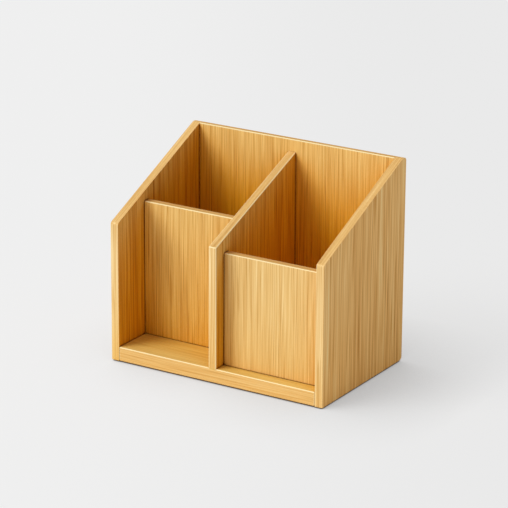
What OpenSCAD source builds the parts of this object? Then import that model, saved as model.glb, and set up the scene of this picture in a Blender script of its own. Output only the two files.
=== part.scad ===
// Open bamboo desk organizer: sloped sides, a divider, two bins and a front ledge.
// Millimetres. X is the width, -Y is the front and Z points up.
// The origin lies on the desk, under the middle of the boards.

/* [Overall size] */
// Width across the outer faces of the sides
body_w = 200; // [160:1:300]
// Depth from the front strip to the rear edges
body_d = 128; // [115:1:200]
// Height of the sides at the back, from their lower edge
side_h = 173.5; // [150:0.5:240]
// Height of the upright front edge of the sides
side_front_h = 118; // [95:0.5:140]
// Level land on top of the sides at the rear corner
side_land = 6; // [3:0.5:15]
// Rounding of the corners in the outline of the sides
side_corner_r = 3; // [1:0.5:5]

/* [Boards] */
// Thickness of the sides, the divider, the panels and the back
board_t = 7; // [6:0.5:12]
// Thickness of the base board
base_t = 12; // [9:0.5:20]
// Sanded bevel along every arris
ease = 0.8; // [0.4:0.1:1.2]

/* [Divider] */
// Offset of the divider from the middle, to the right
divider_x = -2.5; // [-25:0.5:25]
// How far the divider lies below the sides at its front edge
divider_front_drop = 3.5; // [0:0.5:15]
// How far the divider lies below the back panel where they meet
divider_back_drop = 10; // [2:0.5:25]

/* [Panels] */
// Depth of the ledge in front of the left panel
left_setback = 38; // [30:0.5:55]
// How far the left panel lies below the slope of the sides
left_panel_drop = 8; // [3:0.5:25]
// Depth of the ledge in front of the right panel
right_setback = 11.5; // [8:0.5:55]
// How far the right panel lies below the slope of the sides
right_panel_drop = 16; // [3:0.5:35]

/* [Dowels] */
// Diameter of the glued dowels
dowel_d = 4; // [3:0.5:4.5]
// Length of a dowel
dowel_l = 16; // [12:0.5:18]
// How deep a dowel sits in the face of a board
dowel_seat = 4; // [2.5:0.5:4.5]
// Bevel at both ends of a dowel
dowel_bevel = 0.5; // [0.2:0.1:1]
// Glue gap around a dowel
dowel_gap = 0.05; // [0.02:0.01:0.1]
// Glue gap beyond each end of a dowel
dowel_end_gap = 0.3; // [0.1:0.1:0.8]
// Distance from the end of a joint to its first dowel
dowel_margin = 18; // [15:0.5:22]
// Dowels in each joint of the back panel with a side or the base
back_dowels = 4; // [2:1:5]
// Dowels in each joint of the base with a side or the divider
base_dowels = 3; // [2:1:4]
// Dowels in the joint of the divider with the back panel
divider_dowels = 3; // [2:1:4]
// Dowels in each joint of a front panel
panel_dowels = 2; // [2:1:3]

/* [Pads] */
// Diameter of the anti-slip pads
pad_d = 10; // [6:0.5:16]
// Thickness of the pads
pad_t = 1; // [0.5:0.1:3]
// Distance of a pad's middle from the edges of the base
pad_inset = 12; // [9:0.5:25]

/* [Hidden] */

bamboo = [0.87, 0.68, 0.41];
dowel_wood = [0.80, 0.62, 0.38];
pad_rubber = [0.20, 0.19, 0.18];

// Planes that the boards share
front_y = -body_d / 2;
rear_y = body_d / 2;
back_face_y = rear_y - board_t;
left_x = -body_w / 2 + board_t;
right_x = body_w / 2 - board_t;
divider_left_x = divider_x - board_t / 2;
divider_right_x = divider_x + board_t / 2;
bottom_z = pad_t;
base_top_z = bottom_z + base_t;
top_z = bottom_z + side_h;

// Extents of the boards
inner_w = right_x - left_x;
base_d = back_face_y - front_y;
left_panel_y = front_y + left_setback;
right_panel_y = front_y + right_setback;
left_panel_h = slope_z(left_setback) - left_panel_drop - base_top_z;
right_panel_h = slope_z(right_setback) - right_panel_drop - base_top_z;
divider_front_h = bottom_z + side_front_h - divider_front_drop - base_top_z;
divider_back_h = top_z - divider_back_drop - base_top_z;

// Middle planes of the boards, where the dowels lie
base_mid_z = bottom_z + base_t / 2;
back_mid_y = rear_y - board_t / 2;
left_panel_mid_y = left_panel_y + board_t / 2;
right_panel_mid_y = right_panel_y + board_t / 2;

curve_fn = 32;
round_fn = 64;

// Height of the sides' slope at a depth behind the front edge
function slope_z(depth) =
    bottom_z + side_front_h + (side_h - side_front_h) * depth / (body_d - side_land);

// Evenly spaced dowel places between the two ends of a joint
function dowel_row(low, high, count) =
    [for (i = [0 : count - 1])
        low + dowel_margin + (high - low - 2 * dowel_margin) * i / (count - 1)];

// A board with its children as outline, lying on Z = 0, every arris eased
module eased_board(thickness) {
    hull() {
        linear_extrude(thickness) offset(delta = -ease) children();
        translate([0, 0, ease]) linear_extrude(thickness - 2 * ease) children();
    }
}

// Any outline with its corners eased
module eased_outline() {
    offset(delta = ease, chamfer = true) offset(delta = -ease) children();
}

// A board that stands along Y, with its outline drawn in Y and Z, from x towards +X
module standing_along_y(x) {
    translate([x, 0, 0]) rotate([90, 0, 90]) eased_board(board_t) children();
}

// A rectangular board that stands along X, from the face at y backwards
module standing_along_x(x_low, x_high, y, z, height) {
    translate([x_low, y + board_t, z]) rotate([90, 0, 0])
        eased_board(board_t) eased_outline() square([x_high - x_low, height]);
}

// Outline of a side: round corners, but a square one at the foot in front
module side_outline() {
    offset(r = side_corner_r, $fn = curve_fn) offset(delta = -side_corner_r)
        polygon([
            [front_y, bottom_z], [front_y, bottom_z + side_front_h],
            [rear_y - side_land, top_z], [rear_y, top_z], [rear_y, bottom_z]
        ]);
    translate([front_y, bottom_z]) square(2 * side_corner_r);
}

module divider_outline() {
    eased_outline() polygon([
        [front_y, base_top_z], [front_y, base_top_z + divider_front_h],
        [back_face_y, base_top_z + divider_back_h], [back_face_y, base_top_z]
    ]);
}

// One dowel: Z = 0 is the glued joint, +Z goes into the face of a board, -Z into an edge
module dowel() {
    shank_l = dowel_l - 2 * dowel_bevel;
    tip_d = dowel_d - 2 * dowel_bevel;
    color(dowel_wood) translate([0, 0, dowel_seat - dowel_l]) {
        cylinder(h = dowel_bevel, d1 = tip_d, d2 = dowel_d, $fn = round_fn);
        translate([0, 0, dowel_bevel]) cylinder(h = shank_l, d = dowel_d, $fn = round_fn);
        translate([0, 0, dowel_bevel + shank_l])
            cylinder(h = dowel_bevel, d1 = dowel_d, d2 = tip_d, $fn = round_fn);
    }
}

// The blind bore for one dowel, drilled into both boards
module dowel_bore() {
    translate([0, 0, dowel_seat - dowel_l - dowel_end_gap])
        cylinder(h = dowel_l + 2 * dowel_end_gap, d = dowel_d + 2 * dowel_gap, $fn = round_fn);
}

// Places of the dowels, joint by joint
module at_left_side_base() {
    for (y = dowel_row(front_y, back_face_y, base_dowels))
        translate([left_x, y, base_mid_z]) rotate([0, -90, 0]) children();
}

module at_right_side_base() {
    for (y = dowel_row(front_y, back_face_y, base_dowels))
        translate([right_x, y, base_mid_z]) rotate([0, 90, 0]) children();
}

module at_left_side_back() {
    for (z = dowel_row(bottom_z, top_z, back_dowels))
        translate([left_x, back_mid_y, z]) rotate([0, -90, 0]) children();
}

module at_right_side_back() {
    for (z = dowel_row(bottom_z, top_z, back_dowels))
        translate([right_x, back_mid_y, z]) rotate([0, 90, 0]) children();
}

module at_base_back() {
    for (x = dowel_row(left_x, right_x, back_dowels))
        translate([x, back_face_y, base_mid_z]) rotate([-90, 0, 0]) children();
}

module at_divider_base() {
    for (y = dowel_row(front_y, back_face_y, base_dowels))
        translate([divider_x, y, base_top_z]) rotate([180, 0, 0]) children();
}

module at_divider_back() {
    for (z = dowel_row(base_top_z, base_top_z + divider_back_h, divider_dowels))
        translate([divider_x, back_face_y, z]) rotate([-90, 0, 0]) children();
}

module at_left_panel_side() {
    for (z = dowel_row(base_top_z, base_top_z + left_panel_h, panel_dowels))
        translate([left_x, left_panel_mid_y, z]) rotate([0, -90, 0]) children();
}

module at_left_panel_divider() {
    for (z = dowel_row(base_top_z, base_top_z + left_panel_h, panel_dowels))
        translate([divider_left_x, left_panel_mid_y, z]) rotate([0, 90, 0]) children();
}

module at_left_panel_base() {
    for (x = dowel_row(left_x, divider_left_x, panel_dowels))
        translate([x, left_panel_mid_y, base_top_z]) rotate([180, 0, 0]) children();
}

module at_right_panel_side() {
    for (z = dowel_row(base_top_z, base_top_z + right_panel_h, panel_dowels))
        translate([right_x, right_panel_mid_y, z]) rotate([0, 90, 0]) children();
}

module at_right_panel_divider() {
    for (z = dowel_row(base_top_z, base_top_z + right_panel_h, panel_dowels))
        translate([divider_right_x, right_panel_mid_y, z]) rotate([0, -90, 0]) children();
}

module at_right_panel_base() {
    for (x = dowel_row(divider_right_x, right_x, panel_dowels))
        translate([x, right_panel_mid_y, base_top_z]) rotate([180, 0, 0]) children();
}

module left_side() {
    color(bamboo) difference() {
        standing_along_y(left_x - board_t) side_outline();
        at_left_side_base() dowel_bore();
        at_left_side_back() dowel_bore();
        at_left_panel_side() dowel_bore();
    }
}

module right_side() {
    color(bamboo) difference() {
        standing_along_y(right_x) side_outline();
        at_right_side_base() dowel_bore();
        at_right_side_back() dowel_bore();
        at_right_panel_side() dowel_bore();
    }
}

module divider() {
    color(bamboo) difference() {
        standing_along_y(divider_left_x) divider_outline();
        at_divider_base() dowel_bore();
        at_divider_back() dowel_bore();
        at_left_panel_divider() dowel_bore();
        at_right_panel_divider() dowel_bore();
    }
}

module back_panel() {
    color(bamboo) difference() {
        standing_along_x(left_x, right_x, back_face_y, bottom_z, side_h);
        at_left_side_back() dowel_bore();
        at_right_side_back() dowel_bore();
        at_base_back() dowel_bore();
        at_divider_back() dowel_bore();
    }
}

module base_board() {
    color(bamboo) difference() {
        translate([left_x, front_y, bottom_z])
            eased_board(base_t) eased_outline() square([inner_w, base_d]);
        at_left_side_base() dowel_bore();
        at_right_side_base() dowel_bore();
        at_base_back() dowel_bore();
        at_divider_base() dowel_bore();
        at_left_panel_base() dowel_bore();
        at_right_panel_base() dowel_bore();
    }
}

module left_panel() {
    color(bamboo) difference() {
        standing_along_x(left_x, divider_left_x, left_panel_y, base_top_z, left_panel_h);
        at_left_panel_side() dowel_bore();
        at_left_panel_divider() dowel_bore();
        at_left_panel_base() dowel_bore();
    }
}

module right_panel() {
    color(bamboo) difference() {
        standing_along_x(divider_right_x, right_x, right_panel_y, base_top_z, right_panel_h);
        at_right_panel_side() dowel_bore();
        at_right_panel_divider() dowel_bore();
        at_right_panel_base() dowel_bore();
    }
}

// A pad under a corner of the base: 1 or -1 picks right or left, and rear or front
module pad(to_right, to_rear) {
    base_mid_y = (front_y + back_face_y) / 2;
    x = to_right * (inner_w / 2 - pad_inset);
    y = base_mid_y + to_rear * (base_d / 2 - pad_inset);
    color(pad_rubber) translate([x, y, 0]) cylinder(h = pad_t, d = pad_d, $fn = round_fn);
}

left_side();
right_side();
divider();
back_panel();
base_board();
left_panel();
right_panel();
at_left_side_base() dowel();  // dowels_left_side_base
at_right_side_base() dowel();  // dowels_right_side_base
at_left_side_back() dowel();  // dowels_left_side_back
at_right_side_back() dowel();  // dowels_right_side_back
at_base_back() dowel();  // dowels_base_back
at_divider_base() dowel();  // dowels_divider_base
at_divider_back() dowel();  // dowels_divider_back
at_left_panel_side() dowel();  // dowels_left_panel_side
at_left_panel_divider() dowel();  // dowels_left_panel_divider
at_left_panel_base() dowel();  // dowels_left_panel_base
at_right_panel_side() dowel();  // dowels_right_panel_side
at_right_panel_divider() dowel();  // dowels_right_panel_divider
at_right_panel_base() dowel();  // dowels_right_panel_base
pad(-1, -1);  // pad_front_left
pad(1, -1);  // pad_front_right
pad(-1, 1);  // pad_rear_left
pad(1, 1);  // pad_rear_right
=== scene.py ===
# Open bamboo desk organizer: two sloped sides, a divider, two lower front panels and a thick base.
# Metres everywhere, except where a note says millimetres.
import math

import bmesh
import bpy
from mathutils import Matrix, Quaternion, Vector


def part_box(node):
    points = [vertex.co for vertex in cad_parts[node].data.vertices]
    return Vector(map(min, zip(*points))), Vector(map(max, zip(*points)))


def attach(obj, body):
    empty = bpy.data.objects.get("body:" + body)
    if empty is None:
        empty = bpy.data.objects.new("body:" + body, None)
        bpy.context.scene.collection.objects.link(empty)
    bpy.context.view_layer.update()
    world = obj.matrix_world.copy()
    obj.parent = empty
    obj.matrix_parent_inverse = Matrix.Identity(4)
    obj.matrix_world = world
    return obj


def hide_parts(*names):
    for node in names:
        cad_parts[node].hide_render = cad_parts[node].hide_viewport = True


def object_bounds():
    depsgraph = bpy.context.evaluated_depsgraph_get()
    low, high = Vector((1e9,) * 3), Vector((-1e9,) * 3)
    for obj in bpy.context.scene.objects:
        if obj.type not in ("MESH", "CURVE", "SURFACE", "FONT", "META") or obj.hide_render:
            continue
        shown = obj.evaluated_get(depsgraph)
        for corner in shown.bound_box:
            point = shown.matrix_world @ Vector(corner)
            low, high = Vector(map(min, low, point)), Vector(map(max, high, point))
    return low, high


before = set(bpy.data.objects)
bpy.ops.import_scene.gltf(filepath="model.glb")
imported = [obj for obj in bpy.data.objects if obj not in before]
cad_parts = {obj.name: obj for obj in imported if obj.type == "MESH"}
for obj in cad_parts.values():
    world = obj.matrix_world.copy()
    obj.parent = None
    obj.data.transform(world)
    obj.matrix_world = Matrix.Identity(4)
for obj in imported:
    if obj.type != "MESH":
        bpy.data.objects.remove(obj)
cadLow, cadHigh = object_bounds()
print("frame loaded,", len(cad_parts), "nodes")

body = "root"  # nothing on this organizer moves
millimetre = 0.001
touching = 0.000001  # two planes nearer than this are one
sharpAngle = math.radians(35)  # a steeper fold is an edge, a flatter one is part of a round corner
arrisFaces = 3  # that round an arris off

scene = bpy.context.scene
scene.view_settings.view_transform = "Standard"


# camera

camera = {
    "azimuth": 31.767,  # degrees to the right of straight in front
    "elevation": 18.77,
    "roll": 0.353,
    "distance": 2.2459,
    "lens": 196.24,
    "aimOffset": (-0.00341, 0.0, 0.00429),  # from the middle of the organizer
}


def addCamera(settings):
    azimuth = math.radians(settings["azimuth"])
    elevation = math.radians(settings["elevation"])
    back = Vector((
        math.sin(azimuth) * math.cos(elevation),
        -math.cos(azimuth) * math.cos(elevation),
        math.sin(elevation),
    ))
    aim = (cadLow + cadHigh) / 2 + Vector(settings["aimOffset"])
    data = bpy.data.cameras.new("camera")
    data.lens = settings["lens"]
    made = bpy.data.objects.new("camera", data)
    made.location = aim + back * settings["distance"]
    turn = (-back).to_track_quat("-Z", "Y")
    made.rotation_mode = "QUATERNION"
    made.rotation_quaternion = turn @ Quaternion((0, 0, 1), math.radians(settings["roll"]))
    scene.collection.objects.link(made)
    scene.camera = made


addCamera(camera)
print("camera placed")


# node helpers

def addNode(tree, kind, settings=None, inputs=None):
    made = tree.nodes.new(kind)
    for key, value in (settings or {}).items():
        setattr(made, key, value)
    for key, value in (inputs or {}).items():
        if isinstance(value, bpy.types.NodeSocket):
            tree.links.new(value, made.inputs[key])
        else:
            made.inputs[key].default_value = value
    return made


def calculate(tree, operation, first, *others, clamp=False):
    # each further value is worked in by the same operation
    settings = {"operation": operation, "use_clamp": clamp}
    for other in others or (0.0,):
        first = addNode(tree, "ShaderNodeMath", settings, {0: first, 1: other}).outputs[0]
    return first


def weighted(tree, value, share):
    # noise that lies round a half, turned into a change that lies round nothing
    return calculate(tree, "MULTIPLY", calculate(tree, "SUBTRACT", value, 0.5), share)


def remap(tree, value, fromLow, fromHigh, toLow=0.0, toHigh=1.0, smooth=False):
    settings = {"interpolation_type": "SMOOTHSTEP" if smooth else "LINEAR"}
    inputs = {
        "Value": value,
        "From Min": fromLow,
        "From Max": fromHigh,
        "To Min": toLow,
        "To Max": toHigh,
    }
    return addNode(tree, "ShaderNodeMapRange", settings, inputs).outputs["Result"]


def mixColours(tree, blend, factor, first, second):
    # sockets 0, 6 and 7 of this node are its factor and its two colours
    settings = {"data_type": "RGBA", "blend_type": blend, "clamp_result": True}
    return addNode(tree, "ShaderNodeMix", settings, {0: factor, 6: first, 7: second}).outputs[2]


def tinted(tree, factor, wood, colour):
    return mixColours(tree, "MULTIPLY", factor, wood, (*colour, 1))


def vector(tree, x=0.0, y=0.0, z=0.0):
    return addNode(tree, "ShaderNodeCombineXYZ", None, {0: x, 1: y, 2: z}).outputs[0]


def axisOf(tree, value, axis):
    return addNode(tree, "ShaderNodeSeparateXYZ", None, {0: value}).outputs[axis]


def vectorMath(tree, operation, *values):
    return addNode(tree, "ShaderNodeVectorMath", {"operation": operation}, dict(enumerate(values)))


def position(tree):
    return addNode(tree, "ShaderNodeTexCoord").outputs["Object"]


def faceValue(tree, name):
    return addNode(tree, "ShaderNodeAttribute", {"attribute_name": name}).outputs["Fac"]


def openness(tree, reach, samples, lean=None):
    # 1 where nothing stands within reach of the surface; lean looks to one side of it
    inputs = {"Distance": reach}
    if lean:
        inputs["Normal"] = vector(tree, *lean)
    return addNode(tree, "ShaderNodeAmbientOcclusion", {"samples": samples}, inputs).outputs["AO"]


def stretchedNoise(tree, coords, across, along, detail=2.0, roughness=0.5, through=None):
    # features about this many millimetres across, through and along the grain
    size = (1 / across, 1 / (through or across), 1 / along)
    placed = addNode(tree, "ShaderNodeMapping", None, {"Vector": coords, "Scale": size})
    inputs = {
        "Vector": placed.outputs[0],
        "Scale": 1.0,
        "Detail": detail,
        "Roughness": roughness,
    }
    return addNode(tree, "ShaderNodeTexNoise", None, inputs).outputs["Fac"]


def raised(tree, look, height):
    return addNode(tree, "ShaderNodeBump", None, {
        "Strength": look["bump"],
        "Distance": look["bumpHeight"] * millimetre,
        "Height": height,
    }).outputs[0]


def blended(tree, factor, first, second):
    return addNode(tree, "ShaderNodeMixShader", None, {
        0: factor,
        1: first.outputs[0],
        2: second.outputs[0],
    })


def newMaterial(name):
    made = bpy.data.materials.new(name)
    made.use_nodes = True
    made.node_tree.nodes.clear()
    return made, made.node_tree


def setSurface(tree, shader, kind="ShaderNodeOutputMaterial"):
    tree.links.new(shader.outputs[0], addNode(tree, kind).inputs[0])


# bamboo: laminated strips under a thin satin varnish

bamboo = {
    "light": (0.975, 0.725, 0.360),
    "middle": (0.815, 0.508, 0.186),
    "deep": (0.545, 0.265, 0.062),
    "tint": (1.0, 1.0, 1.0),  # of the two broad faces; set board by board against how each board is lit, so it holds painted light and shade

    # fibres, in millimetres; a size is width and length, counted in fibres
    "fibreWidth": 0.78,
    "fibreLength": 75,
    "fibreTone": 1.3,
    "bandSize": (6, 4),
    "bandTone": 0.25,
    "hairSize": (0.6, 0.6),
    "hairShare": 0.7,  # of what the fibres change
    "streakSize": (1.4, 0.8),
    "streakFrom": (0.60, 0.72),  # noise at which a dark streak starts and is full
    "streakTone": 0.70,
    "streak": (0.70, 0.55, 0.32),  # what a dark streak leaves of the colour round it
    "wander": 1.6,  # the most that a fibre strays sideways
    "wanderWidth": 40,
    "wanderLength": 120,
    "seedStep": (131.7, 57.3, 211.9),  # each board comes from another place in the bamboo

    # glued strips, in millimetres, and the seams that show on the paler ones
    "stripWidth": 6.4,
    "stripUneven": 0.45,
    "stripTone": 0.08,
    "seamWidth": 0.05,  # share of a strip
    "seamFrom": (0.55, 0.90),  # tone of the strip at which its seam starts and is full
    "seamTone": 0.30,
    "seamDepth": 0.8,

    # sawn ends, where the surface faces along the grain
    "endFrom": (0.6, 0.8),
    "endTone": -0.27,
    "endCalm": 0.8,  # how much of the fibres' contrast is lost there
    "layerWidth": 1.1,  # millimetres, of the pressed layers that show there as lines
    "layerLength": 60,
    "layerTone": 1.0,

    "rimTone": 0.22,  # the narrow faces round a board
    "cream": (1.00, 0.820, 0.450),  # painted highlight along the open arrises
    "arrisTone": 0.95,
    "arrisFrom": (0.70, 0.95),  # openness at which the painted highlight starts and is full

    # painted shade where faces look at each other, and along the joints between them
    "amber": (0.88, 0.62, 0.05),  # painted shade: what the colour keeps in the deepest recess
    "amberShare": 1.0,  # above 1, the full painted shade comes sooner
    "amberFrom": (0.68, 0.27),  # openness at which it starts and is full
    "amberReach": 0.18,
    "joint": (0.20, 0.065, 0.01),  # painted shade that draws a joint as a fine dark line
    "jointTone": 0.6,
    "jointFrom": (0.74, 0.52),
    "jointReach": 0.0028,
    "samples": 6,

    # varnish
    "roughness": 0.55,
    "fibreRoughness": 0.25,
    "endRoughness": 0.12,
    "ior": 1.45,
    "gloss": 0.05,
    "bump": 0.25,
    "bumpHeight": 0.05,  # millimetres
}


def boardSpace(tree, look, across, along):
    # millimetres: X across the strips, Y through the board and Z along the grain
    through = ({"X", "Y", "Z"} - {across, along}).pop()
    split = addNode(tree, "ShaderNodeSeparateXYZ", None, {0: position(tree)}).outputs
    ordered = vector(tree, split[across], split[through], split[along])
    start = [look["seed"] * step for step in look["seedStep"]]
    return vectorMath(tree, "MULTIPLY_ADD", ordered, (1 / millimetre,) * 3, start).outputs[0]


def wanderingFibres(tree, look, grain):
    # the fibres wander a little sideways on their way along the board
    noise = stretchedNoise(tree, grain, look["wanderWidth"], look["wanderLength"], detail=1.0)
    sideways = remap(tree, noise, 0.0, 1.0, -look["wander"], look["wander"])
    return vectorMath(tree, "ADD", grain, vector(tree, sideways)).outputs[0]


def gluedStrips(tree, look, grain):
    # the tone of each strip, and the thin seam at its edge
    inputs = {
        "W": calculate(tree, "DIVIDE", axisOf(tree, grain, 0), look["stripWidth"]),
        "Scale": 1.0,
        "Randomness": look["stripUneven"],
    }
    stripSettings = {"voronoi_dimensions": "1D"}
    seamSettings = {"voronoi_dimensions": "1D", "feature": "DISTANCE_TO_EDGE"}
    strips = addNode(tree, "ShaderNodeTexVoronoi", stripSettings, inputs)
    seams = addNode(tree, "ShaderNodeTexVoronoi", seamSettings, inputs)
    stripTone = axisOf(tree, strips.outputs["Color"], 0)
    seam = remap(tree, seams.outputs["Distance"], 0.0, look["seamWidth"], 1.0, 0.0)
    return stripTone, calculate(tree, "MULTIPLY", seam, remap(tree, stripTone, *look["seamFrom"]))


def woodColour(tree, look, tone, streaks, rim, arris):
    # tone runs from deep to light, with the middle colour at a half
    ramp = addNode(tree, "ShaderNodeValToRGB", None, {0: tone})
    ramp.color_ramp.elements[0].color = (*look["deep"], 1)
    ramp.color_ramp.elements[1].color = (*look["light"], 1)
    ramp.color_ramp.elements.new(0.5).color = (*look["middle"], 1)
    wood = tinted(tree, streaks, ramp.outputs["Color"], look["streak"])
    broad = calculate(tree, "SUBTRACT", 1.0, rim, arris, clamp=True)
    return tinted(tree, broad, wood, look["tint"])


def shadeAndHighlightColour(tree, look, wood, arris):
    # painted shade: the colour turns a deeper amber where the faces look at each other
    wide = openness(tree, look["amberReach"], look["samples"])
    recessShadeMask = remap(tree, wide, *look["amberFrom"], 0.0, look["amberShare"])
    wood = tinted(tree, recessShadeMask, wood, look["amber"])

    # painted highlight on an arris in the open, and painted shade that draws a joint as a dark line
    near = openness(tree, look["jointReach"], look["samples"])
    openHighlight = remap(tree, near, *look["arrisFrom"], 0.0, look["arrisTone"])
    arrisHighlightMask = calculate(tree, "MULTIPLY", arris, openHighlight)
    wood = mixColours(tree, "MIX", arrisHighlightMask, wood, (*look["cream"], 1))
    jointShadeMask = remap(tree, near, *look["jointFrom"], 0.0, look["jointTone"], smooth=True)
    return tinted(tree, jointShadeMask, wood, look["joint"])


def bambooMaterial(name, look, across, along):
    # across and along are the axes of the board that its strips are counted along and run along
    made, tree = newMaterial(name)
    grain = boardSpace(tree, look, across, along)
    fibres = wanderingFibres(tree, look, grain)
    stripTone, seam = gluedStrips(tree, look, grain)

    def fibreNoise(size, detail=1.0, roughness=0.5):
        width = size[0] * look["fibreWidth"]
        length = size[1] * look["fibreLength"]
        return stretchedNoise(tree, fibres, width, length, detail, roughness)

    bands = fibreNoise(look["bandSize"], detail=2.0, roughness=0.55)
    fine = fibreNoise((1, 1), roughness=0.6)
    hair = fibreNoise(look["hairSize"])
    streaks = remap(tree, fibreNoise(look["streakSize"]), *look["streakFrom"], smooth=True)
    tone = calculate(
        tree, "ADD",
        weighted(tree, bands, look["bandTone"]),
        weighted(tree, fine, look["fibreTone"]),
        weighted(tree, hair, look["fibreTone"] * look["hairShare"]),
        weighted(tree, stripTone, look["stripTone"]),
    )
    tone = calculate(tree, "SUBTRACT", tone, calculate(tree, "MULTIPLY", seam, look["seamTone"]))

    # a sawn end is calmer, and shows the pressed layers instead
    facing = addNode(tree, "ShaderNodeTexCoord").outputs["Normal"]
    sawn = remap(tree, calculate(tree, "ABSOLUTE", axisOf(tree, facing, along)), *look["endFrom"])
    calm = remap(tree, sawn, 0.0, 1.0, 1.0, 1 - look["endCalm"])
    long = look["layerLength"]
    layers = stretchedNoise(tree, grain, long, long, detail=1.0, through=look["layerWidth"])
    sawnTone = calculate(tree, "ADD", weighted(tree, layers, look["layerTone"]), look["endTone"])

    rim = faceValue(tree, "rim")
    arris = faceValue(tree, "arris")
    tone = calculate(
        tree, "ADD",
        calculate(tree, "MULTIPLY", tone, calm),
        calculate(tree, "MULTIPLY", sawn, sawnTone),
        calculate(tree, "MULTIPLY", rim, look["rimTone"]),
        0.5,
    )
    streaks = calculate(tree, "MULTIPLY", streaks, calm, look["streakTone"])
    wood = woodColour(tree, look, tone, streaks, rim, arris)

    relief = calculate(tree, "SUBTRACT", fine, calculate(tree, "MULTIPLY", seam, look["seamDepth"]))
    roughness = calculate(
        tree, "ADD",
        weighted(tree, fine, look["fibreRoughness"]),
        look["roughness"],
        calculate(tree, "MULTIPLY", sawn, look["endRoughness"]),
    )
    setSurface(tree, addNode(tree, "ShaderNodeBsdfPrincipled", None, {
        "Base Color": shadeAndHighlightColour(tree, look, wood, arris),
        "Roughness": roughness,
        "IOR": look["ior"],
        "Specular IOR Level": look["gloss"],
        "Normal": raised(tree, look, relief),
    }))
    return made


def mottledMaterial(name, look):
    # one plain colour with fine spots, for the dowels and the pads
    made, tree = newMaterial(name)
    scaled = addNode(tree, "ShaderNodeMapping", None, {
        "Vector": position(tree),
        "Scale": (1 / millimetre,) * 3,
    })
    spots = addNode(tree, "ShaderNodeTexNoise", None, {
        "Vector": scaled.outputs[0],
        "Scale": look["spotsPerMillimetre"],
        "Detail": look["spotDetail"],
    }).outputs["Fac"]
    setSurface(tree, addNode(tree, "ShaderNodeBsdfPrincipled", None, {
        "Base Color": mixColours(tree, "MIX", spots, (*look["dark"], 1), (*look["light"], 1)),
        "Roughness": remap(tree, spots, *look["spotFrom"], *look["roughness"]),
        "Normal": raised(tree, look, spots),
    }))
    return made


# mesh helpers

def meshObject(name, shape):
    # shape is a bmesh, which is used up
    mesh = bpy.data.meshes.new(name)
    shape.to_mesh(mesh)
    shape.free()
    made = bpy.data.objects.new(name, mesh)
    scene.collection.objects.link(made)
    return made


def pieceName(nodeName):
    words = nodeName.split("_")
    return words[0] + "".join(word.capitalize() for word in words[1:])


def roundedOutline(corners, steps=8):
    # corners are (a, b, radius) in order round the board; each becomes a point or an arc
    points = []
    count = len(corners)
    for index, (a, b, radius) in enumerate(corners):
        here = Vector((a, b))
        if radius <= 0:
            points.append(here)
            continue
        before = (Vector(corners[index - 1][:2]) - here).normalized()
        after = (Vector(corners[(index + 1) % count][:2]) - here).normalized()
        half = before.angle(after) / 2
        middle = here + (before + after).normalized() * (radius / math.sin(half))
        start = here + before * (radius / math.tan(half)) - middle
        sweep = math.pi - 2 * half
        turn = 1 if before.cross(after) < 0 else -1
        for step in range(steps + 1):
            angle = turn * sweep * step / steps
            spun = Vector((
                start.x * math.cos(angle) - start.y * math.sin(angle),
                start.x * math.sin(angle) + start.y * math.cos(angle),
            ))
            points.append(middle + spun)
    return points


def makeBoard(name, outline, axis, low, high, arris, glued=None, thin=None):
    # the outline lies in the plane across the axis, and the board runs from low to high along it
    # glued says which edges stay sharp, and thin is the axis that the two broad faces look along
    board = bmesh.new()
    thin = axis if thin is None else thin

    def spot(point, height):
        coords = [point[0], point[1]]
        coords.insert(axis, height)
        return coords

    face = board.faces.new([board.verts.new(spot(point, low)) for point in outline])
    extruded = bmesh.ops.extrude_face_region(board, geom=[face])["geom"]
    for vertex in extruded:
        if isinstance(vertex, bmesh.types.BMVert):
            vertex.co[axis] = high
    bmesh.ops.recalc_face_normals(board, faces=board.faces)

    sharp = []
    for edge in board.edges:
        middle = (edge.verts[0].co + edge.verts[1].co) / 2
        if edge.calc_face_angle(0) > sharpAngle and not (glued and glued(middle)):
            sharp.append(edge)
    arrisLayer = board.faces.layers.float.new("arris")
    rimLayer = board.faces.layers.float.new("rim")
    eased = bmesh.ops.bevel(
        board,
        geom=sharp,
        offset=arris,
        segments=arrisFaces,
        profile=0.5,  # round
        affect="EDGES",
        clamp_overlap=True,
    )
    for face in eased["faces"]:
        face[arrisLayer] = 1.0

    # the narrow faces look across the board
    for face in board.faces:
        if face[arrisLayer] == 0 and abs(face.normal[thin]) < 0.5:
            face[rimLayer] = 1.0
    return meshObject(name, board)


def addTurned(target, profile, middle, axis, facets, ripple=None):
    # profile is (distance along the axis, radius); ripple changes the radius round the axis
    rings = []
    for along, radius in profile:
        ring = []
        for step in range(facets):
            angle = 2 * math.pi * step / facets
            here = radius * (ripple(angle) if ripple else 1.0)
            spot = [math.cos(angle) * here, math.sin(angle) * here]
            spot.insert(axis, along)
            ring.append(target.verts.new(middle + Vector(spot)))
        rings.append(ring)
    for lower, upper in zip(rings, rings[1:]):
        for step in range(facets):
            after = (step + 1) % facets
            target.faces.new((lower[step], lower[after], upper[after], upper[step]))
    target.faces.new(list(reversed(rings[0])))
    target.faces.new(rings[-1])


def applyBoolean(board, shape, operation):
    # shape is a bmesh, which is used up
    bmesh.ops.recalc_face_normals(shape, faces=shape.faces)
    tool = meshObject("tool", shape)
    change = board.modifiers.new("change", "BOOLEAN")
    change.operation = operation
    change.solver = "EXACT"
    change.object = tool
    bpy.context.view_layer.update()
    changed = board.evaluated_get(bpy.context.evaluated_depsgraph_get())
    mesh = bpy.data.meshes.new_from_object(changed)
    board.modifiers.clear()
    board.data = mesh
    board.data.name = board.name
    bpy.data.objects.remove(tool)


def finishPiece(piece, material, nodeName):
    piece.data.materials.clear()
    piece.data.materials.append(material)
    piece.data.shade_smooth()
    piece.data.set_sharp_from_angle(angle=sharpAngle)
    normals = piece.modifiers.new("normals", "WEIGHTED_NORMAL")
    normals.keep_sharp = True
    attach(piece, body)
    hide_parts(nodeName)


# glued joints, with dowels in blind bores

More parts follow.
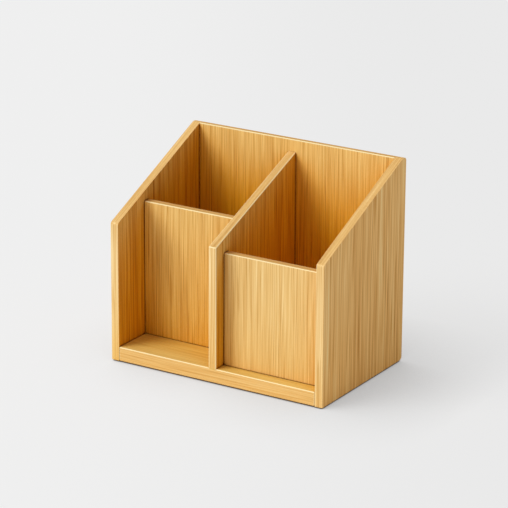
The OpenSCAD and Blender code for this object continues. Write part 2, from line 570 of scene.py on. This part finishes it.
# the two boards that each group of dowels joins
gluedJoints = {
    "dowels_left_side_base": ("left_side", "base_board"),
    "dowels_right_side_base": ("right_side", "base_board"),
    "dowels_left_side_back": ("left_side", "back_panel"),
    "dowels_right_side_back": ("right_side", "back_panel"),
    "dowels_base_back": ("base_board", "back_panel"),
    "dowels_divider_base": ("divider", "base_board"),
    "dowels_divider_back": ("divider", "back_panel"),
    "dowels_left_panel_side": ("left_panel", "left_side"),
    "dowels_left_panel_divider": ("left_panel", "divider"),
    "dowels_left_panel_base": ("left_panel", "base_board"),
    "dowels_right_panel_side": ("right_panel", "right_side"),
    "dowels_right_panel_divider": ("right_panel", "divider"),
    "dowels_right_panel_base": ("right_panel", "base_board"),
}
bore = {
    "gap": 0.00005,  # glue round a dowel
    "endGap": 0.0003,
    "facets": 32,
}


def looseParts(nodeName):
    # the points of each separate solid in a node
    solid = bmesh.new()
    solid.from_mesh(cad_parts[nodeName].data)
    bmesh.ops.remove_doubles(solid, verts=solid.verts, dist=touching)
    left = set(solid.verts)
    parts = []
    while left:
        waiting = [left.pop()]
        points = []
        while waiting:
            vertex = waiting.pop()
            points.append(vertex.co.copy())
            for edge in vertex.link_edges:
                other = edge.other_vert(vertex)
                if other in left:
                    left.remove(other)
                    waiting.append(other)
        parts.append(points)
    solid.free()
    return parts


def dowelPlaces(nodeName):
    # middle, axis, length and radius of each dowel in a node
    places = []
    for points in looseParts(nodeName):
        low = Vector([min(point[i] for point in points) for i in range(3)])
        high = Vector([max(point[i] for point in points) for i in range(3)])
        size = high - low
        axis = max(range(3), key=lambda i: size[i])
        across = size[(axis + 1) % 3]
        places.append(((low + high) / 2, axis, size[axis], across / 2))
    places.sort(key=lambda dowel: tuple(dowel[0]))
    return places


def drill(board, nodeName):
    # the bores of every joint that this board is in
    cutter = bmesh.new()
    for dowelNode, boards in gluedJoints.items():
        if nodeName not in boards:
            continue
        for middle, axis, length, radius in dowelPlaces(dowelNode):
            half = length / 2 + bore["endGap"]
            wide = radius + bore["gap"]
            addTurned(cutter, [(-half, wide), (half, wide)], middle, axis, bore["facets"])
    applyBoolean(board, cutter, "DIFFERENCE")


def finishBoard(board, look, grain, nodeName):
    # grain is the axis that the strips are counted along and the axis that they run along
    drill(board, nodeName)
    finishPiece(board, bambooMaterial(board.name, {**bamboo, **look}, *grain), nodeName)


# sides

sides = {
    "frontHeight": 0.118,
    "land": 0.006,  # level stretch behind the slope
    "cornerRound": 0.003,
    "arris": 0.0006,
    "look": {
        "fibreWidth": 1.4,
        "fibreLength": 100,
        "jointTone": 0.85,
    },
}
leftSide = {
    "name": "leftSideBoard",
    "look": {
        "seed": 1,
        # painted shade: deeper, less blue broad faces, the inner one of which stands in shade
        "tint": (0.93, 0.88, 0.69),
        "fibreTone": 1.4,
        "seamTone": 0.5,
        "amberShare": 1.35,
    },
}
rightSide = {
    "name": "rightSideBoard",
    "look": {
        "seed": 2,
        # painted light: lighter, warmer broad faces, the outer one of which stands in shade
        "tint": (1.13, 1.06, 0.98),
        "fibreTone": 1.2,
        "seamTone": 0.7,
        "rimTone": 0.18,
        "amberShare": 0.5,
    },
}


def buildSide(side, nodeName):
    low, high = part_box(nodeName)
    corner = sides["cornerRound"]
    outline = roundedOutline([
        (low.y, low.z, 0),
        (high.y, low.z, corner),
        (high.y, high.z, corner),
        (high.y - sides["land"], high.z, corner),
        (low.y, low.z + sides["frontHeight"], corner),
    ])
    inner = low.x if abs(low.x) < abs(high.x) else high.x
    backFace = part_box("back_panel")[0].y

    # sanded flush with the back panel after gluing, so no arris there
    def glued(middle):
        return abs(middle.x - inner) < touching and middle.y > backFace

    board = makeBoard(side["name"], outline, 0, low.x, high.x, sides["arris"], glued)
    finishBoard(board, {**sides["look"], **side["look"]}, ("Y", "Z"), nodeName)


buildSide(leftSide, "left_side")
buildSide(rightSide, "right_side")
print("sides built")


# divider

divider = {
    "name": "dividerBoard",
    "frontHeight": 0.1145,  # above the foot of the sides
    "arris": 0.0006,
    "look": {
        "seed": 3,
        # painted shade: less blue broad faces, the right one of which stands in shade
        "tint": (0.97, 0.98, 0.84),
        "fibreWidth": 1.4,
        "fibreLength": 100,
        "fibreTone": 1.4,
        "rimTone": 0.14,
        "amberShare": 1.1,
        "jointTone": 1.0,
    },
}


def buildDivider(settings):
    low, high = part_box("divider")
    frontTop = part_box("left_side")[0].z + settings["frontHeight"]
    outline = [
        Vector((low.y, low.z)),
        Vector((high.y, low.z)),
        Vector((high.y, high.z)),
        Vector((low.y, frontTop)),
    ]

    # the foot and the rear edge are glued down, so they keep their corners
    def glued(middle):
        return middle.z < low.z + touching or middle.y > high.y - touching

    board = makeBoard(settings["name"], outline, 0, low.x, high.x, settings["arris"], glued)
    finishBoard(board, settings["look"], ("Y", "Z"), "divider")


buildDivider(divider)
print("divider built")


# upright boards across the width: the back and the two front panels

panels = {
    "arris": 0.0007,
    "look": {"rimTone": 0.0},
}
backPanel = {
    "name": "backBoard",
    "rearRound": sides["cornerRound"],
    "look": {
        "seed": 4,
        "tint": (1.10, 1.08, 0.885),
        "amberShare": 1.15,
        "jointTone": 1.0,
    },
}
leftPanel = {
    "name": "leftFrontBoard",
    "rearRound": 0,
    "look": {
        "seed": 5,
        "tint": (1.01, 1.00, 0.85),
        "fibreTone": 1.15,
        "amberShare": 1.15,
    },
}
rightPanel = {
    "name": "rightFrontBoard",
    "rearRound": 0,
    "look": {
        "seed": 6,
        "tint": (1.03, 1.08, 1.10),
        "fibreTone": 1.0,
        "streakTone": 0.5,
        "amberShare": 0.75,
        "jointTone": 0.8,
    },
}


def buildPanel(panel, nodeName):
    low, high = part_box(nodeName)
    rearRound = panel["rearRound"]
    outline = roundedOutline([
        (low.y, low.z, 0),
        (high.y, low.z, rearRound),
        (high.y, high.z, rearRound),
        (low.y, high.z, 0),
    ])

    # the ends of the back panel were sanded flush with the sides
    def glued(middle):
        atEnd = min(abs(middle.x - low.x), abs(middle.x - high.x)) < touching
        return atEnd and rearRound > 0

    board = makeBoard(panel["name"], outline, 0, low.x, high.x, panels["arris"], glued, thin=1)
    finishBoard(board, {**panels["look"], **panel["look"]}, ("X", "Z"), nodeName)


buildPanel(backPanel, "back_panel")
buildPanel(leftPanel, "left_panel")
buildPanel(rightPanel, "right_panel")
print("panels built")


# base

base = {
    "name": "baseBoard",
    "arris": 0.0007,
    "look": {
        "seed": 7,
        "tint": (0.97, 1.13, 1.05),
        "rimTone": 0.12,
        "fibreTone": 0.8,
        "streakTone": 0.4,
        "amberShare": 0.75,
        "jointTone": 0.3,
    },
}


def buildBase(settings):
    low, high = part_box("base_board")
    dividerLow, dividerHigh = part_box("divider")
    arris = settings["arris"]
    outline = [
        Vector((low.x, low.y)),
        Vector((high.x, low.y)),
        Vector((high.x, high.y)),
        Vector((low.x, high.y)),
    ]
    board = makeBoard(settings["name"], outline, 2, low.z, high.z, arris)

    # the front arris stops under the divider, whose front edge was sanded flush with the base
    corner = bmesh.new()
    bmesh.ops.create_cube(corner, size=1.0)
    width = dividerHigh.x - dividerLow.x - 2 * arris
    for vertex in corner.verts:
        vertex.co.x = (dividerLow.x + dividerHigh.x) / 2 + vertex.co.x * width
        vertex.co.y = low.y + (vertex.co.y + 0.5) * 2 * arris
        vertex.co.z = high.z + (vertex.co.z - 0.5) * 2 * arris
    applyBoolean(board, corner, "UNION")
    finishBoard(board, settings["look"], ("Y", "X"), "base_board")


buildBase(base)
print("base built")


# dowels: plain fluted beech, glued into the bores

dowels = {
    "bevel": 0.0005,
    "flutes": 12,
    "fluteDepth": 0.06,  # share of the radius
    "facets": 48,
    "light": (0.72, 0.52, 0.31),
    "dark": (0.50, 0.32, 0.17),
    "spotsPerMillimetre": 2.2,
    "spotDetail": 3.0,
    "spotFrom": (0.2, 0.8),  # of the noise, from the smoothest spot to the roughest
    "roughness": (0.6, 0.8),
    "bump": 0.3,
    "bumpHeight": 0.05,  # millimetres
}


def buildDowels(settings, nodeName, material):
    bevel = settings["bevel"]

    def flute(angle):
        groove = max(0.0, math.cos(settings["flutes"] * angle))
        return 1 - settings["fluteDepth"] * groove

    group = bmesh.new()
    for middle, axis, length, radius in dowelPlaces(nodeName):
        half = length / 2
        profile = [
            (-half, radius - bevel),
            (-half + bevel, radius),
            (half - bevel, radius),
            (half, radius - bevel),
        ]
        addTurned(group, profile, middle, axis, settings["facets"], flute)
    bmesh.ops.recalc_face_normals(group, faces=group.faces)
    finishPiece(meshObject(pieceName(nodeName), group), material, nodeName)


dowelWood = mottledMaterial("dowelWood", dowels)
for nodeName in sorted(gluedJoints):
    buildDowels(dowels, nodeName, dowelWood)
print("dowels built")


# anti-slip pads under the base

pads = {
    "rim": 0.0003,
    "rimSteps": 4,
    "facets": 64,
    "light": (0.060, 0.057, 0.054),
    "dark": (0.035, 0.033, 0.031),
    "spotsPerMillimetre": 1.6,
    "spotDetail": 4.0,
    "spotFrom": (0.2, 0.8),
    "roughness": (0.7, 0.9),
    "bump": 0.3,
    "bumpHeight": 0.05,  # millimetres
}


def buildPad(settings, nodeName, material):
    low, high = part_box(nodeName)
    radius = (high.x - low.x) / 2
    half = (high.z - low.z) / 2
    rim = settings["rim"]

    # round below, where it meets the desk, and flat against the base
    profile = []
    for step in range(settings["rimSteps"] + 1):
        angle = math.pi / 2 * step / settings["rimSteps"]
        profile.append((-half + rim * (1 - math.cos(angle)), radius - rim * (1 - math.sin(angle))))
    profile.append((half, radius))
    disc = bmesh.new()
    addTurned(disc, profile, (low + high) / 2, 2, settings["facets"])
    bmesh.ops.recalc_face_normals(disc, faces=disc.faces)
    finishPiece(meshObject(pieceName(nodeName), disc), material, nodeName)


padRubber = mottledMaterial("padRubber", pads)
for nodeName in sorted(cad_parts):
    if nodeName.startswith("pad_"):
        buildPad(pads, nodeName, padRubber)
print("pads built")


# floor

floor = {
    "radius": 8.0,
    "facets": 96,
    "colour": (0.80, 0.80, 0.80),  # what it throws back on the organizer
    "seenLeft": 0.868,  # brightness that the camera sees
    "seenRight": 0.818,
    "gradientReach": 0.2,
    "shadowShare": 0.15,
    "shadowColour": (0.95, 0.95, 0.95),
    "contactReach": 0.10,
    "contactLean": (-0.5, -0.25, 0.83),  # the near shadow falls away from the lamp
    "contactPower": 0.43,
    "gapReach": 0.006,  # the dark line under the boards, which stand on thin pads
    "gapFrom": (0.6, 0.2),  # openness at which it starts and is full
    "gapColour": (0.13, 0.075, 0.03),  # the little light there has come off the wood
    "samples": 8,
}


def cameraOrGlossy(tree):
    path = addNode(tree, "ShaderNodeLightPath").outputs
    return calculate(tree, "MAXIMUM", path["Is Camera Ray"], path["Is Glossy Ray"])


def floorMaterial(look):
    made, tree = newMaterial("floor")
    azimuth = math.radians(camera["azimuth"])
    rightwards = (math.cos(azimuth), math.sin(azimuth), 0)
    sideways = vectorMath(tree, "DOT_PRODUCT", position(tree), rightwards).outputs["Value"]
    reach = look["gradientReach"]
    seen = remap(tree, sideways, -reach, reach, look["seenLeft"], look["seenRight"], smooth=True)
    near = openness(tree, look["contactReach"], look["samples"], look["contactLean"])
    shadow = calculate(tree, "POWER", near, look["contactPower"])
    seen = calculate(tree, "MULTIPLY", seen, shadow)
    under = openness(tree, look["gapReach"], look["samples"])
    shown = tinted(tree, remap(tree, under, *look["gapFrom"]), seen, look["gapColour"])
    glow = addNode(tree, "ShaderNodeEmission", None, {"Color": shown})
    shade = addNode(tree, "ShaderNodeBsdfDiffuse", None, {"Color": (*look["shadowColour"], 1)})
    plain = addNode(tree, "ShaderNodeBsdfDiffuse", None, {"Color": (*look["colour"], 1)})
    seenFloor = blended(tree, look["shadowShare"], glow, shade)
    setSurface(tree, blended(tree, cameraOrGlossy(tree), plain, seenFloor))
    return made


def addFloor(settings):
    disc = bmesh.new()
    bmesh.ops.create_circle(
        disc,
        cap_ends=True,
        segments=settings["facets"],
        radius=settings["radius"],
    )
    made = meshObject("floor", disc)
    made.data.materials.append(floorMaterial(settings))


addFloor(floor)
print("floor laid")


# light and backdrop

light = {
    "keyDirection": (-0.51, -0.60, 0.61),  # towards the lamp
    "keyStrength": 2.1,
    "keyAngle": 35.0,  # degrees, for a soft edge of the shadows
    "ambient": 0.48,  # what the room throws on the organizer
    "backdrop": 0.84,  # brightness that the camera sees
}


def addKey(settings):
    data = bpy.data.lights.new("key", "SUN")
    data.energy = settings["keyStrength"]
    data.angle = math.radians(settings["keyAngle"])
    lamp = bpy.data.objects.new("key", data)
    lamp.rotation_mode = "QUATERNION"
    lamp.rotation_quaternion = (-Vector(settings["keyDirection"])).to_track_quat("-Z", "Y")
    scene.collection.objects.link(lamp)


def addStudio(settings):
    world = bpy.data.worlds.new("studio")
    world.use_nodes = True
    tree = world.node_tree
    tree.nodes.clear()

    def white(strength):
        inputs = {"Color": (1, 1, 1, 1), "Strength": strength}
        return addNode(tree, "ShaderNodeBackground", None, inputs)

    ambient = white(settings["ambient"])
    backdrop = white(settings["backdrop"])
    shown = blended(tree, cameraOrGlossy(tree), ambient, backdrop)
    setSurface(tree, shown, "ShaderNodeOutputWorld")
    scene.world = world


addKey(light)
addStudio(light)
print("lights set")
